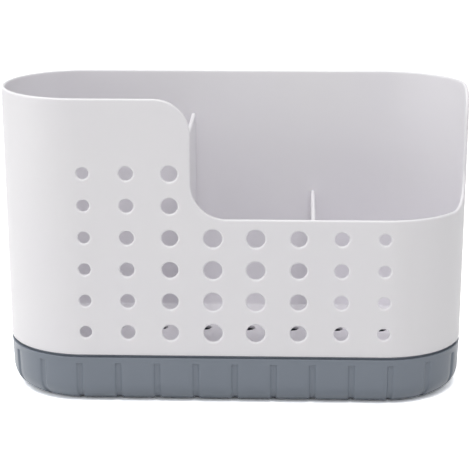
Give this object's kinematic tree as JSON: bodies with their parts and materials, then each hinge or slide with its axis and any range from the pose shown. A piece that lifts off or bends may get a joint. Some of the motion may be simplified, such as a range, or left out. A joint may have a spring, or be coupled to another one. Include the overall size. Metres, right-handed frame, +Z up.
{
  "type": "cutlery holder",
  "caption": "Cutlery holder: a round-ended perforated tub with a cut-out front and lift-out dividers, standing in a grooved drip tray.",
  "frame": {"origin": "on the worktop, under the middle of the drip tray", "axes": "+X along the holder, to the right when the perforated front is seen; +Y towards the plain back; +Z up"},
  "size_m": [0.1998, 0.07, 0.1325],
  "materials": {
    "white_polypropylene": "satin moulded, white",
    "grey_polypropylene": "satin moulded, blue-grey"
  },
  "bodies": {
    "tray": {"drip_tray": "grey_polypropylene"},
    "holder": {"holder_tub": "white_polypropylene"},
    "tall_partition": {"tall_divider": "white_polypropylene"},
    "low_partition": {"low_divider": "white_polypropylene"}
  },
  "joints": [
    {"name": "tub_lift", "type": "slide", "parent": "tray", "child": "holder", "axis": [0, 0, 1], "range_m": [0, 0.04]},
    {"name": "tall_divider_lift", "type": "slide", "parent": "holder", "child": "tall_partition", "axis": [0, 0, 1], "range_m": [0, 0.115]},
    {"name": "low_divider_lift", "type": "slide", "parent": "holder", "child": "low_partition", "axis": [0, 0, 1], "range_m": [0, 0.115]}
  ]
}
